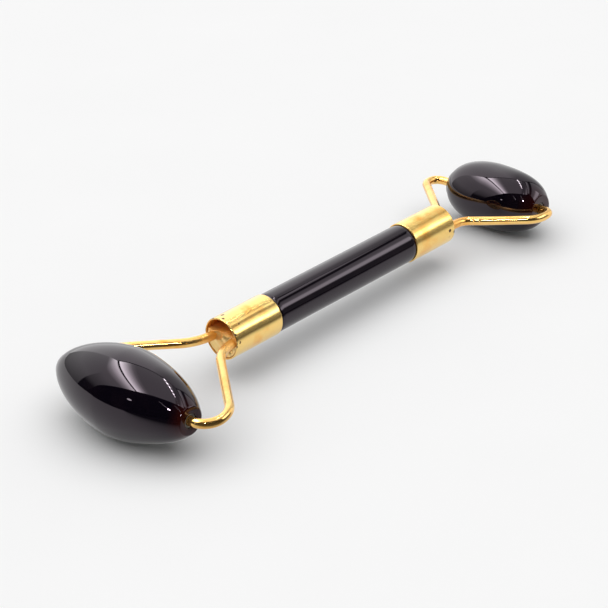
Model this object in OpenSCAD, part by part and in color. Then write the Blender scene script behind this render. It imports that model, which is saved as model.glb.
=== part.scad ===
// Double-ended stone face roller, lying on a flat surface on its two rollers.
// Millimetres. +Y runs along the grip from the large roller to the small one,
// +X runs along the roller axles and +Z is up. The origin is on the surface,
// under the middle of the whole object.

/* [Grip] */
// Diameter of the polished stone grip
grip_d = 9.5; // [9.2:0.1:9.7]
// Length of grip that shows between the two ferrules
grip_len = 46.8; // [35:0.1:60]
// Diameter of the turned-down end that sits inside each ferrule
spigot_d = 8.9; // [8.6:0.1:8.9]

/* [Ferrules] */
// Outside diameter of both gold ferrules
ferrule_d = 10; // [10:0.1:11]
// Wall thickness of the ferrule tube
ferrule_wall = 0.4; // [0.3:0.05:0.4]
// Length of the ferrule at the large roller
large_ferrule_len = 14.6; // [12:0.1:18]
// Length of the ferrule at the small roller
small_ferrule_len = 14.1; // [12:0.1:18]
// Bevel round the outer edge of the open rim
rim_bevel = 0.2; // [0.1:0.05:0.25]
// Depth of the open mouth that holds the root of the fork
mouth_depth = 4.6; // [4.6:0.1:5.5]
// Thickness of the brass plug at the bottom of the mouth
plug_thick = 1.5; // [1:0.1:2]

/* [Forks] */
// Diameter of the wire that both forks are bent from
wire_d = 2.2; // [1.9:0.1:2.2]
// From the mouth of the large ferrule to the axle of the large roller
large_reach = 28.2; // [27.5:0.1:32]
// From the mouth of the small ferrule to the axle of the small roller
small_reach = 23.2; // [23:0.1:26]
// How far each axle sits below the line of the grip
fork_drop = 0.9; // [0:0.1:1.2]

/* [Large roller] */
// Largest diameter of the large stone
large_stone_d = 20; // [18:0.1:21]
// Length of the large stone over its flat ends
large_stone_len = 38.7; // [36:0.1:39]
// Roundness of the long profile: 2 is an ellipse, higher is fuller
large_stone_fullness = 1.7; // [1.6:0.05:2.2]

/* [Small roller] */
// Largest diameter of the small stone
small_stone_d = 16.6; // [15:0.1:17]
// Length of the small stone over its flat ends
small_stone_len = 27.3; // [25:0.1:28]
// Roundness of the long profile: 2 is an ellipse, higher is fuller
small_stone_fullness = 2.35; // [1.8:0.05:2.6]

/* [Roller bushes] */
// Outside diameter of each nylon bush
bush_d = 3.5; // [3.3:0.1:3.6]
// Radial running clearance between wire tip and bush
running_clearance = 0.05; // [0.02:0.01:0.08]
// Depth that the wire tips reach into the large stone
large_tip_depth = 5.5; // [4:0.1:6]
// Depth that the wire tips reach into the small stone
small_tip_depth = 4.6; // [3.5:0.1:5]

/* [Hidden] */
$fn = 96;

wire_r = wire_d / 2;
ferrule_bore_r = ferrule_d / 2 - ferrule_wall;
overshoot = 1;

// Adhesive: a bead shows between the grip's shoulder and the ferrule
glue_bead = 0.15;
glue_bottom = 0.2;
glue_bead_r = grip_d / 2 - 0.05;
spigot_bevel = 0.3;

// Solder: buries the root and fills the mouth to above the wire, just short
// of the rim
solder_step_back = 0.25;
solder_level = 1.5;

// Bushes and their bores in the stones
bush_bore_r = wire_r + running_clearance;
bush_glue = 0.1;
bush_proud = 0.15;
bush_mouth_bevel = 0.15;
bush_past_tip = 0.9;
bore_past_bush = 0.3;
tip_bevel = 0.3;

// Stone profiles: the ellipse-like curve would close this far out,
// as a multiple of the half length, so each end is a small flat
large_overrun = 1.09;
small_overrun = 1.053;
end_round_r = 0.7;
profile_steps = 28;

// Outlines of each fork's two sides, bent by hand and so not quite alike, as
// [distance from the middle, distance out from the mouth, bend radius]: where
// the leg starts to spread, the shoulder, then the corner to the axle
large_left = [[2.8, 3.5, 11], [22.2, large_reach - 6.3, 2.5], [21.2, large_reach, 1.7]];
large_right = [[3.35, 4.1, 11], [23.4, large_reach - 7.5, 7], [24.7, large_reach, 4]];
small_left = [[3.4, 4.4, 8], [19.5, small_reach - 4.6, 2.6], [20.3, small_reach, 2.4]];
small_right = [[3.3, 5.2, 4], [17.4, small_reach - 5.6, 6], [16.6, small_reach, 1.7]];
root_depth = 3.2;
root_bend_r = 1.8;
// Straights lap into the bends, which are a hair thicker than the wire
seam_lap = 0.1;
bend_swell = 0.01;

// Lie of the object: the two stones have different radii, so the grip tilts
large_mouth_y = -grip_len / 2 - glue_bead - large_ferrule_len;
small_mouth_y = grip_len / 2 + glue_bead + small_ferrule_len;
large_axle_y = large_mouth_y - large_reach * cos(dip(large_reach));
small_axle_y = small_mouth_y + small_reach * cos(dip(small_reach));
axle_span = small_axle_y - large_axle_y;
lie_tilt = asin((large_stone_d - small_stone_d) / 2 / axle_span);
large_axle_lie_y = large_axle_y * cos(lie_tilt) - fork_drop * sin(lie_tilt);
small_axle_lie_y = small_axle_y * cos(lie_tilt) - fork_drop * sin(lie_tilt);
large_axle_lie_z = -large_axle_y * sin(lie_tilt) - fork_drop * cos(lie_tilt);
lie_shift_y = -(large_axle_lie_y - large_stone_d / 2 + small_axle_lie_y + small_stone_d / 2) / 2;
lie_lift = large_stone_d / 2 - large_axle_lie_z;
// The large fork reaches a little further to the right of the grip than to the left
lie_shift_x = -0.96;

// Dip of a fork so that its axle ends up fork_drop below the grip's line
function dip(reach) = asin(fork_drop / reach);

// Puts the straight grip assembly in the lie that it rests in
module lie() {
    translate([lie_shift_x, lie_shift_y, lie_lift]) rotate([-lie_tilt, 0, 0]) children();
}

// Turns a shape made along +Z so that it runs outward from the mouth of an end
module at_large_mouth() {
    translate([0, large_mouth_y, 0]) rotate([90, 0, 0]) children();
}

module at_small_mouth() {
    translate([0, small_mouth_y, 0]) rotate([-90, 0, 0]) children();
}

// Puts a fork drawn flat, with +Y outward from the mouth, at its end and dips it
module as_large_fork() {
    translate([0, large_mouth_y, 0]) rotate([dip(large_reach), 0, 0]) mirror([0, 1, 0]) children();
}

module as_small_fork() {
    translate([0, small_mouth_y, 0]) rotate([-dip(small_reach), 0, 0]) children();
}

// Wire bent through flat corner points, each [x, y, bend radius]
function heading(a, b) = atan2(b[1] - a[1], b[0] - a[0]);
function wrapped(angle) = angle > 180 ? angle - 360 : angle < -180 ? angle + 360 : angle;
function turn(c, i) = wrapped(heading(c[i], c[i + 1]) - heading(c[i - 1], c[i]));
function is_bend(c, i) = i > 0 && i < len(c) - 1;
function cut_back(c, i) = is_bend(c, i) ? c[i][2] * tan(abs(turn(c, i)) / 2) : 0;
function along(p, angle, d) = [p[0] + d * cos(angle), p[1] + d * sin(angle)];
function bend_start(c, i) = along(c[i], heading(c[i - 1], c[i]), -cut_back(c, i));
function bend_end(c, i) = along(c[i], heading(c[i], c[i + 1]), cut_back(c, i));

// A straight reaches a little way into the bend at each end
module straight(a, b, r) {
    from = along(a, heading(a, b), -seam_lap);
    translate([from[0], from[1], 0])
        rotate([0, 0, heading(a, b)])
            rotate([0, 90, 0])
                cylinder(h = norm([b[0] - a[0], b[1] - a[1]]) + 2 * seam_lap, r = r);
}

module bend(c, i, r) {
    side = turn(c, i) > 0 ? 1 : -1;
    way_in = heading(c[i - 1], c[i]);
    centre = along(bend_start(c, i), way_in + side * 90, c[i][2]);
    first = side > 0 ? way_in - 90 : way_in + 90 + turn(c, i);
    translate([centre[0], centre[1], 0])
        rotate([0, 0, first])
            rotate_extrude(angle = abs(turn(c, i)))
                translate([c[i][2], 0]) circle(r = r + bend_swell);
}

module bent_wire(c, r) {
    for (i = [0:len(c) - 2]) straight(bend_end_or_tip(c, i), bend_start_or_tip(c, i + 1), r);
    for (i = [1:len(c) - 2]) bend(c, i, r);
}

function bend_end_or_tip(c, i) = i == 0 ? c[0] : bend_end(c, i);
function bend_start_or_tip(c, i) = i == len(c) - 1 ? c[i] : bend_start(c, i);

// One side of a fork: tip, axle, shoulder, leg, then the root inside the mouth
function fork_side(outline, tip_x) = [
    [tip_x, outline[2][1], 0],
    outline[2],
    outline[1],
    outline[0],
    [outline[0][0], -root_depth, root_bend_r]
];
function mirrored(points) = [for (i = [len(points) - 1:-1:0]) [-points[i][0], points[i][1], points[i][2]]];

module fork(left, right, tip_x) {
    bent_wire(concat(fork_side(right, tip_x), mirrored(fork_side(left, tip_x))), wire_r);
    for (side = [-1, 1])
        translate([side * tip_x, left[2][1], 0])
            rotate([0, -side * 90, 0])
                cylinder(h = tip_bevel + seam_lap, r1 = wire_r - bend_swell, r2 = wire_r - tip_bevel);
}

module large_fork_shape() {
    as_large_fork()
        fork(large_left, large_right, large_stone_len / 2 - large_tip_depth);
}

module small_fork_shape() {
    as_small_fork()
        fork(small_left, small_right, small_stone_len / 2 - small_tip_depth);
}

// Tube with its bevelled open rim at z = 0 and its body running down to -len
module ferrule_shape(len) {
    rotate_extrude()
        polygon([
            [ferrule_bore_r, -len],
            [ferrule_d / 2, -len],
            [ferrule_d / 2, -rim_bevel],
            [ferrule_d / 2 - rim_bevel, 0],
            [ferrule_bore_r, 0]
        ]);
}

module plug_shape() {
    translate([0, 0, -mouth_depth - plug_thick]) cylinder(h = plug_thick, r = ferrule_bore_r);
}

// Cup of adhesive round a spigot, with the bead that shows at the shoulder
module adhesive_shape(len) {
    spigot_end = -mouth_depth - plug_thick - glue_bottom;
    rotate_extrude()
        polygon([
            [0, spigot_end + glue_bottom],
            [ferrule_bore_r, spigot_end + glue_bottom],
            [ferrule_bore_r, -len],
            [glue_bead_r, -len],
            [glue_bead_r, -len - glue_bead],
            [spigot_d / 2, -len - glue_bead],
            [spigot_d / 2, spigot_end - spigot_bevel],
            [spigot_d / 2 - spigot_bevel, spigot_end],
            [0, spigot_end]
        ]);
}

// Spigot turned on the end of the grip, from its bevelled end to the shoulder
module spigot_shape(len) {
    spigot_end = -mouth_depth - plug_thick - glue_bottom;
    rotate_extrude()
        polygon([
            [0, -len - glue_bead - overshoot],
            [spigot_d / 2, -len - glue_bead - overshoot],
            [spigot_d / 2, spigot_end - spigot_bevel],
            [spigot_d / 2 - spigot_bevel, spigot_end],
            [0, spigot_end]
        ]);
}

// Solder pool in the mouth, with an open recess above its level
module solder_pool() {
    intersection() {
        translate([0, 0, -mouth_depth]) cylinder(h = mouth_depth - solder_step_back, r = ferrule_bore_r);
        translate([-ferrule_d / 2, -ferrule_d, -mouth_depth - overshoot])
            cube([ferrule_d, ferrule_d + solder_level, mouth_depth + 2 * overshoot]);
    }
}

// Half outline of a stone: the radius at a distance x from the middle
function stone_radius(x, r, a, k) = r * pow(1 - pow(abs(x) / a, k), 1 / k);

// Points of the outline from the middle to where the end rounding starts,
// closer together towards the end, where the curve is tighter
function stone_side(r, a, k, x_end) = [
    for (i = [0:profile_steps])
        let (x = x_end * sin(90 * i / profile_steps)) [stone_radius(x, r, a, k), x]
];

// Slope of the outline as an angle from the stone's axis
function stone_slope(x, r, a, k) =
    atan((stone_radius(x - 0.01, r, a, k) - stone_radius(x + 0.01, r, a, k)) / 0.02);

// Rounded edge from the outline to the flat end
function end_edge(x0, r0, slope, half) =
    let (centre_r = r0 - end_round_r * cos(slope))
    let (centre_x = x0 - end_round_r * sin(slope))
    let (stretch = (half - centre_x) / end_round_r)
    [for (i = [1:6])
        let (angle = slope + (90 - slope) * i / 6)
        [centre_r + end_round_r * cos(angle), centre_x + stretch * end_round_r * sin(angle)]];

module stone_half(d, len, k, overrun) {
    r = d / 2;
    half = len / 2;
    a = half * overrun;
    x_end = half - end_round_r * 0.45;
    side = stone_side(r, a, k, x_end);
    edge = end_edge(x_end, stone_radius(x_end, r, a, k), stone_slope(x_end, r, a, k), half);
    rotate_extrude() polygon(concat([[0, 0]], side, edge, [[0, half]]));
}

// Whole stone along X with a blind bore in each end
module stone_shape(d, len, k, overrun, tip_depth) {
    bore_len = tip_depth + bush_past_tip + bore_past_bush;
    difference() {
        for (side = [-1, 1]) rotate([0, side * 90, 0]) stone_half(d, len, k, overrun);
        for (side = [-1, 1])
            translate([side * (len / 2 - bore_len), 0, 0])
                rotate([0, side * 90, 0])
                    cylinder(h = bore_len + overshoot, r = bush_d / 2 + bush_glue);
    }
}

// Nylon bush along +Z, its mouth standing a little proud of z = 0
module bush_shape(tip_depth) {
    rotate_extrude()
        polygon([
            [bush_bore_r, -tip_depth - bush_past_tip],
            [bush_d / 2, -tip_depth - bush_past_tip],
            [bush_d / 2, bush_proud],
            [bush_bore_r + bush_mouth_bevel, bush_proud],
            [bush_bore_r, bush_proud - bush_mouth_bevel]
        ]);
}

// Film of adhesive between a bush and its bore
module bush_adhesive_shape(tip_depth) {
    rotate_extrude()
        polygon([
            [bush_d / 2, -tip_depth - bush_past_tip],
            [bush_d / 2 + bush_glue, -tip_depth - bush_past_tip],
            [bush_d / 2 + bush_glue, 0],
            [bush_d / 2, 0]
        ]);
}

module at_large_axle() {
    translate([0, large_axle_y, -fork_drop]) children();
}

module at_small_axle() {
    translate([0, small_axle_y, -fork_drop]) children();
}

// Turns a shape made along +Z so that it sits in the end of a stone
module in_stone_end(side, len) {
    translate([side * len / 2, 0, 0]) rotate([0, side * 90, 0]) children();
}

module grip_stone() {
    color("#1b191d") lie() {
        rotate([90, 0, 0]) cylinder(h = grip_len, d = grip_d, center = true);
        at_large_mouth() spigot_shape(large_ferrule_len);
        at_small_mouth() spigot_shape(small_ferrule_len);
    }
}

module large_end_ferrule() {
    color("#f2c862") lie() at_large_mouth() ferrule_shape(large_ferrule_len);
}

module small_end_ferrule() {
    color("#f2c862") lie() at_small_mouth() ferrule_shape(small_ferrule_len);
}

module large_end_plug() {
    color("#c98a2b") lie() at_large_mouth() plug_shape();
}

module small_end_plug() {
    color("#c98a2b") lie() at_small_mouth() plug_shape();
}

module large_end_adhesive() {
    color("#4a3320") lie() at_large_mouth() adhesive_shape(large_ferrule_len);
}

module small_end_adhesive() {
    color("#4a3320") lie() at_small_mouth() adhesive_shape(small_ferrule_len);
}

module large_fork_wire() {
    color("#f5cf6e") lie() large_fork_shape();
}

module small_fork_wire() {
    color("#f5cf6e") lie() small_fork_shape();
}

module large_end_solder() {
    color("#efc987") lie() difference() {
        at_large_mouth() solder_pool();
        large_fork_shape();
    }
}

module small_end_solder() {
    color("#efc987") lie() difference() {
        at_small_mouth() mirror([0, 1, 0]) solder_pool();
        small_fork_shape();
    }
}

module large_roller_stone() {
    color("#141216") lie() at_large_axle()
        stone_shape(large_stone_d, large_stone_len, large_stone_fullness, large_overrun, large_tip_depth);
}

module small_roller_stone() {
    color("#141216") lie() at_small_axle()
        stone_shape(small_stone_d, small_stone_len, small_stone_fullness, small_overrun, small_tip_depth);
}

module large_roller_bush(side) {
    color("#d8d6d0") lie() at_large_axle() in_stone_end(side, large_stone_len) bush_shape(large_tip_depth);
}

module small_roller_bush(side) {
    color("#d8d6d0") lie() at_small_axle() in_stone_end(side, small_stone_len) bush_shape(small_tip_depth);
}

module large_roller_adhesive(side) {
    color("#5a4432") lie() at_large_axle()
        in_stone_end(side, large_stone_len) bush_adhesive_shape(large_tip_depth);
}

module small_roller_adhesive(side) {
    color("#5a4432") lie() at_small_axle()
        in_stone_end(side, small_stone_len) bush_adhesive_shape(small_tip_depth);
}

grip_stone();
large_end_ferrule();
small_end_ferrule();
large_end_plug();
small_end_plug();
large_end_adhesive();
small_end_adhesive();
large_fork_wire();
small_fork_wire();
large_end_solder();
small_end_solder();
large_roller_stone();
small_roller_stone();
large_roller_bush(-1);  // large_roller_left_bush
large_roller_bush(1);  // large_roller_right_bush
small_roller_bush(-1);  // small_roller_left_bush
small_roller_bush(1);  // small_roller_right_bush
large_roller_adhesive(-1);  // large_roller_left_adhesive
large_roller_adhesive(1);  // large_roller_right_adhesive
small_roller_adhesive(-1);  // small_roller_left_adhesive
small_roller_adhesive(1);  // small_roller_right_adhesive
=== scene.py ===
"""Looks of a double-ended face roller: black volcanic glass stones on gold plated wire forks.

Every sub-assembly is a class that carries its sizes in millimetres, works its surfaces out as whole numpy
arrays and puts them into meshes in metres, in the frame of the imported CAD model. The two stones' CAD boxes
give the axles, and the axles give the line that the grip lies on.
"""

import logging
import math
from dataclasses import dataclass, field
from enum import Enum
from typing import Any, Mapping, Optional, Sequence

import bpy
import numpy as np
from mathutils import Matrix, Vector


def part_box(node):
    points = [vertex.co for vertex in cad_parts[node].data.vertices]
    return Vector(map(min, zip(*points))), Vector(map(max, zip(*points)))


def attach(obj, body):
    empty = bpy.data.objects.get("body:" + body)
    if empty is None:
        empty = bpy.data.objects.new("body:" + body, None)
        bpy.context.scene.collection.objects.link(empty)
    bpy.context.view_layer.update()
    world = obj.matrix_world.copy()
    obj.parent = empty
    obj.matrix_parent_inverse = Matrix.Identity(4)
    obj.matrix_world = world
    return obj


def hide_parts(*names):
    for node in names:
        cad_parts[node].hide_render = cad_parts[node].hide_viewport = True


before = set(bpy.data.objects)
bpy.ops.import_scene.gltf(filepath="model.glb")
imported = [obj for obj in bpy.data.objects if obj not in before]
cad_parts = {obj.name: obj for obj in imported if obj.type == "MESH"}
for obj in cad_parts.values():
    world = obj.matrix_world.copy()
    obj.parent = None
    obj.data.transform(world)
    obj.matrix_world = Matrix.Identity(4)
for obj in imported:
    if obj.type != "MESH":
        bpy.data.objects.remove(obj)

LOG = logging.getLogger("face_roller")
MM = 0.001
ROUND = 128
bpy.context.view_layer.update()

Wave = tuple[float, float, int, float]
Bend = tuple[float, float, float]
Spot = tuple[float, float, float]
Corners = tuple[Spot, ...]
Levels = tuple[tuple[float, float], ...]
Mark = bpy.types.NodeSocket


# ---------------------------------------------------------------- names

class End(Enum):
    """Which end of the grip a part belongs to; the value is the way out along the grip."""

    LARGE = -1
    SMALL = 1

    @property
    def word(self) -> str:
        """The end's word in node names."""
        return self.name.lower()


class Side(Enum):
    """Which end of an axle a part belongs to; the value is its way along X."""

    LEFT = -1
    RIGHT = 1

    @property
    def word(self) -> str:
        """The side's word in node names."""
        return self.name.lower()


class Close(Enum):
    """How a skin of rings is closed."""

    POLES = "both ends run into a point"
    LOOP = "the last ring joins the first"


# ---------------------------------------------------------------- surfaces

def fillet(points: Sequence[Sequence[float]], radii: Sequence[float], step: float) -> np.ndarray:
    """Rounds the inner corners of a polyline.

    A corner between unit directions u and v turns through an angle t. Its arc starts r tan(t/2) before the
    corner and runs as start + r (sin a u + (1 - cos a) n), with n the part of v square to u.

    Args:
        points: the polyline's corners, K by 2 or 3.
        radii: the K - 2 radii at the inner corners.
        step: the longest distance between two points of the result.

    Returns:
        The rounded line, N by 2 or 3.
    """
    p = np.asarray(points, float)
    r = np.asarray(radii, float)
    ways = np.diff(p, axis=0)
    ways /= np.linalg.norm(ways, axis=1, keepdims=True)
    before, after = ways[:-1], ways[1:]
    dot = np.clip((before * after).sum(1), -1, 1)
    turn = np.arccos(dot)
    square = after - dot[:, None] * before
    square /= np.linalg.norm(square, axis=1, keepdims=True)
    start = p[1:-1] - before * (r * np.tan(turn / 2))[:, None]
    runs = [p[:1]]
    for corner in range(len(r)):
        runs.append(straight(runs[-1][-1], start[corner], step))
        arc = max(4, int(math.ceil(r[corner] * turn[corner] / step)) + 3)
        a = np.linspace(0, turn[corner], arc)[1:, None]
        bow = np.sin(a) * before[corner] + (1 - np.cos(a)) * square[corner]
        runs.append(start[corner] + r[corner] * bow)
    runs.append(straight(runs[-1][-1], p[-1], step))
    return np.concatenate(runs)


def straight(a: np.ndarray, b: np.ndarray, step: float) -> np.ndarray:
    """Evenly spaced points from a to b, without a itself, at most step apart."""
    count = max(1, int(math.ceil(np.linalg.norm(b - a) / step)))
    return a + (b - a) * np.linspace(0, 1, count + 1)[1:, None]


def revolve(profile: np.ndarray, swell: Optional[np.ndarray] = None, segments: int = ROUND) -> np.ndarray:
    """Turns a profile of (radius, height) points round the Z axis.

    A point is (r cos p, r sin p, h), with p running round the circle and r multiplied by 1 + swell.

    Args:
        profile: M by 2 radii and heights.
        swell: M by segments, how much fuller the surface is there, as a part of its radius.
        segments: how many points go round.

    Returns:
        The rings, M by segments by 3.
    """
    p = np.linspace(0, 2 * np.pi, segments, endpoint=False)
    r = profile[:, :1] * (1 + (0 if swell is None else swell))
    height = np.broadcast_to(profile[:, 1:], (len(profile), segments))
    return np.stack([r * np.cos(p), r * np.sin(p), height], -1)


def ripple(along: np.ndarray, waves: Sequence[Wave], segments: int = ROUND) -> np.ndarray:
    """Unevenness of a hand-finished round piece.

    It is a sum of waves, each height times sin(along / length + turns p + phase), over the ring angle p.

    Args:
        along: M positions along the piece.
        waves: (height, length, turns, phase) of each wave.
        segments: how many points go round.

    Returns:
        M by segments heights.
    """
    p = np.linspace(0, 2 * np.pi, segments, endpoint=False)
    return sum(h * np.sin(along[:, None] / length + turns * p + phase) for h, length, turns, phase in waves)


def sweep(path: np.ndarray, normal: np.ndarray, radius: np.ndarray, segments: int) -> np.ndarray:
    """Carries a circle along a path that lies close to one plane.

    A point is path + r (cos p b + sin p n), where n is the plane's normal made square to the path's
    direction t, and b is t cross n.

    Args:
        path: N by 3 centres.
        normal: the plane's unit normal.
        radius: the N radii.
        segments: how many points go round.

    Returns:
        The rings, N by segments by 3.
    """
    t = np.gradient(path, axis=0)
    t /= np.linalg.norm(t, axis=1, keepdims=True)
    n = normal - (t @ normal)[:, None] * t
    n /= np.linalg.norm(n, axis=1, keepdims=True)
    b = np.cross(t, n)
    p = np.linspace(0, 2 * np.pi, segments, endpoint=False)[None, :, None]
    return path[:, None] + radius[:, None, None] * (np.cos(p) * b[:, None] + np.sin(p) * n[:, None])


def smoothed(values: np.ndarray, width: int) -> np.ndarray:
    """Runs a cosine window of the given width along the rows, with the ends held."""
    window = np.hanning(2 * width + 3)[1:-1]
    padded = np.pad(values, ((width, width), (0, 0)), mode="edge")
    return np.stack([np.convolve(c, window / window.sum(), "valid") for c in padded.T], 1)


def add_object(name: str, data: bpy.types.ID) -> bpy.types.Object:
    """Makes an object of the data, puts it in the scene and returns it."""
    thing = bpy.data.objects.new(name, data)
    bpy.context.scene.collection.objects.link(thing)
    return thing


def make_piece(name: str, rings: np.ndarray, close: Close, finish: bpy.types.Material,
               marks: Optional[Mapping[str, np.ndarray]] = None) -> bpy.types.Object:
    """Puts rings of points into a closed, smooth mesh whose faces point outwards.

    Neighbouring rings are joined by quads. The faces are turned over if the volume, a sixth of the sum of
    a . (b x c) over the triangles, comes out negative.

    Args:
        name: the piece's name.
        rings: M by N by 3 points in metres.
        close: how the rings' ends are closed.
        finish: the piece's material.
        marks: point attributes by name, each M by N.

    Returns:
        The object, at the origin.
    """
    m, n = rings.shape[:2]
    points = rings.reshape(-1, 3)
    index = np.arange(m * n).reshape(m, n)
    beside = np.roll(index, -1, axis=1)
    if close is Close.LOOP:
        onward, onward_beside = np.roll(index, -1, axis=0), np.roll(beside, -1, axis=0)
        quads = np.stack([index, beside, onward_beside, onward], -1).reshape(-1, 4)
        fans = np.empty((0, 3), int)
    else:
        quads = np.stack([index[:-1], beside[:-1], beside[1:], index[1:]], -1).reshape(-1, 4)
        points = np.concatenate([points, rings[:1].mean(1), rings[-1:].mean(1)])
        first, last = np.full(n, m * n), np.full(n, m * n + 1)
        fans = np.concatenate([np.stack([first, beside[0], index[0]], 1),
                               np.stack([last, index[-1], beside[-1]], 1)])
    triangles = np.concatenate([quads[:, [0, 1, 2]], quads[:, [0, 2, 3]], fans])
    a, b, c = (points[triangles[:, k]] for k in range(3))
    if (a * np.cross(b, c)).sum() < 0:
        quads, fans = quads[:, ::-1], fans[:, ::-1]
    mesh = bpy.data.meshes.new(name)
    mesh.vertices.add(len(points))
    mesh.vertices.foreach_set("co", points.ravel().astype(np.float32))
    mesh.loops.add(quads.size + fans.size)
    corners = np.concatenate([quads.ravel(), fans.ravel()])
    mesh.loops.foreach_set("vertex_index", corners.astype(np.int32))
    sizes = np.concatenate([np.full(len(quads), 4), np.full(len(fans), 3)])
    mesh.polygons.add(len(sizes))
    starts = np.concatenate([[0], np.cumsum(sizes)[:-1]])
    mesh.polygons.foreach_set("loop_start", starts.astype(np.int32))
    mesh.polygons.foreach_set("loop_total", sizes.astype(np.int32))
    mesh.polygons.foreach_set("use_smooth", np.ones(len(sizes), bool))
    for word, values in (marks or {}).items():
        flat = np.zeros(len(points), np.float32)
        flat[: m * n] = np.broadcast_to(values, (m, n)).ravel()
        if close is Close.POLES:
            flat[m * n:] = flat[0], flat[m * n - 1]
        mesh.attributes.new(word, "FLOAT", "POINT").data.foreach_set("value", flat)
    mesh.update(calc_edges=True)
    mesh.validate()
    mesh.materials.append(finish)
    return add_object(name, mesh)


def hand_over(piece: bpy.types.Object, body: str, slot: str, *nodes: str) -> None:
    """Rides a piece on its body, hides the CAD nodes it stands for, and logs it.

    Args:
        piece: the finished piece.
        body: the CAD body it moves with.
        slot: the record's material slot; not used.
        nodes: the CAD nodes that it replaces.
    """
    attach(piece, body)
    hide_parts(*nodes)
    LOG.info("%s: %d faces, rides on %s", piece.name, len(piece.data.polygons), body)


# ---------------------------------------------------------------- finishes

def linear(hex_colour: str) -> tuple[float, float, float, float]:
    """Turns an sRGB hex colour such as #c08040 to linear RGBA."""
    parts = np.array([int(hex_colour[k:k + 2], 16) for k in (1, 3, 5)]) / 255
    low = parts / 12.92
    high = ((parts + 0.055) / 1.055) ** 2.4
    red, green, blue = np.where(parts <= 0.04045, low, high).tolist()
    return red, green, blue, 1.0


def add_node(tree: bpy.types.NodeTree, kind: str, settings: Optional[Mapping[Any, Any]] = None,
             links: Optional[Mapping[Any, Any]] = None) -> bpy.types.Node:
    """Adds a node with its settings and its links.

    Args:
        tree: the node tree.
        kind: the node's type.
        settings: values by name; an input's name or number sets that input, "stops" a colour ramp's
            (place, hex colour or grey) pairs, and any other name the node's own property.
        links: the sockets that feed its inputs, by input name or number.

    Returns:
        The node.
    """
    node = tree.nodes.new(kind)
    given = dict(settings or {})
    stops = given.pop("stops", None)
    for word in [w for w in given if isinstance(w, str) and w not in node.inputs]:
        setattr(node, word, given.pop(word))
    for word, value in given.items():
        node.inputs[word].default_value = linear(value) if isinstance(value, str) else value
    if stops:
        elements = node.color_ramp.elements
        while len(elements) < len(stops):
            elements.new(0.5)
        for element, (place, colour) in zip(elements, stops):
            element.position = place
            element.color = linear(colour) if isinstance(colour, str) else (colour, colour, colour, 1.0)
    for word, socket in (links or {}).items():
        tree.links.new(socket, node.inputs[word])
    return node


def new_material(name: str) -> tuple[bpy.types.Material, bpy.types.NodeTree]:
    """Starts an empty node material and returns it with its tree."""
    material = bpy.data.materials.new(name)
    material.use_nodes = True
    material.node_tree.nodes.clear()
    return material, material.node_tree


def calc(tree: bpy.types.NodeTree, operation: str, *terms: Any, clamp: bool = False) -> Mark:
    """Adds a maths node.

    Args:
        tree: the node tree.
        operation: what it works out.
        terms: numbers and sockets, in the order of its inputs.
        clamp: whether the result is held between 0 and 1.

    Returns:
        The result's socket.
    """
    numbers = {k: term for k, term in enumerate(terms) if isinstance(term, (int, float))}
    sockets = {k: term for k, term in enumerate(terms) if k not in numbers}
    settings = {"operation": operation, "use_clamp": clamp, **numbers}
    return add_node(tree, "ShaderNodeMath", settings, sockets).outputs[0]


def spread(tree: bpy.types.NodeTree, value: Mark, low: float, high: float, to_low: float = 0.0,
           to_high: float = 1.0, **more: Any) -> Mark:
    """Stretches low to high over to_low to to_high, held at both ends, and returns the result's socket."""
    settings = {"From Min": low, "From Max": high, "To Min": to_low, "To Max": to_high, **more}
    return add_node(tree, "ShaderNodeMapRange", settings, {"Value": value}).outputs[0]


def noise(tree: bpy.types.NodeTree, place: Mark, size_mm: float, detail: float = 2.0, out: str = "Fac",
          **more: Any) -> Mark:
    """Adds soft noise with lumps of about size_mm and returns its value, or the output that is named."""
    settings = {"Scale": 1 / (size_mm * MM), "Detail": detail, **more}
    return add_node(tree, "ShaderNodeTexNoise", settings, {"Vector": place}).outputs[out]


def ramp(tree: bpy.types.NodeTree, value: Mark, *stops: tuple[float, Any]) -> Mark:
    """Adds a colour ramp with (place, hex colour or grey) stops and returns its colour."""
    return add_node(tree, "ShaderNodeValToRGB", {"stops": stops}, {"Fac": value}).outputs["Color"]


def blend(tree: bpy.types.NodeTree, share: Mark, first: Any, second: Any) -> Mark:
    """Mixes two colours, each a hex colour or a socket, and returns the mix."""
    fixed = {k: colour for k, colour in ((6, first), (7, second)) if isinstance(colour, str)}
    fed = {k: colour for k, colour in ((6, first), (7, second)) if not isinstance(colour, str)}
    return add_node(tree, "ShaderNodeMix", {"data_type": "RGBA", **fixed}, {0: share, **fed}).outputs[2]


def place_of(tree: bpy.types.NodeTree) -> Mark:
    """Adds the object coordinates, in metres."""
    return add_node(tree, "ShaderNodeTexCoord").outputs["Object"]


def mark_of(tree: bpy.types.NodeTree, word: str) -> Mark:
    """Adds the point attribute of that name, which is 0 on a piece without it."""
    return add_node(tree, "ShaderNodeAttribute", {"attribute_name": word}).outputs["Fac"]


def surface(tree: bpy.types.NodeTree, feeds: Mapping[str, Mark], height: Mark, bump: tuple[float, float],
            settings: Mapping[str, Any]) -> None:
    """Adds the surface shader, with its relief, as the material's output.

    Args:
        tree: the node tree.
        feeds: the sockets that feed the shader, by input name.
        height: the relief.
        bump: the relief's strength and its depth in millimetres.
        settings: the shader's fixed inputs.
    """
    strength, depth_mm = bump
    relief = add_node(tree, "ShaderNodeBump", {"Strength": strength, "Distance": depth_mm * MM},
                      {"Height": height})
    shader = add_node(tree, "ShaderNodeBsdfPrincipled", settings, {**feeds, "Normal": relief.outputs[0]})
    add_node(tree, "ShaderNodeOutputMaterial", links={"Surface": shader.outputs[0]})


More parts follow.
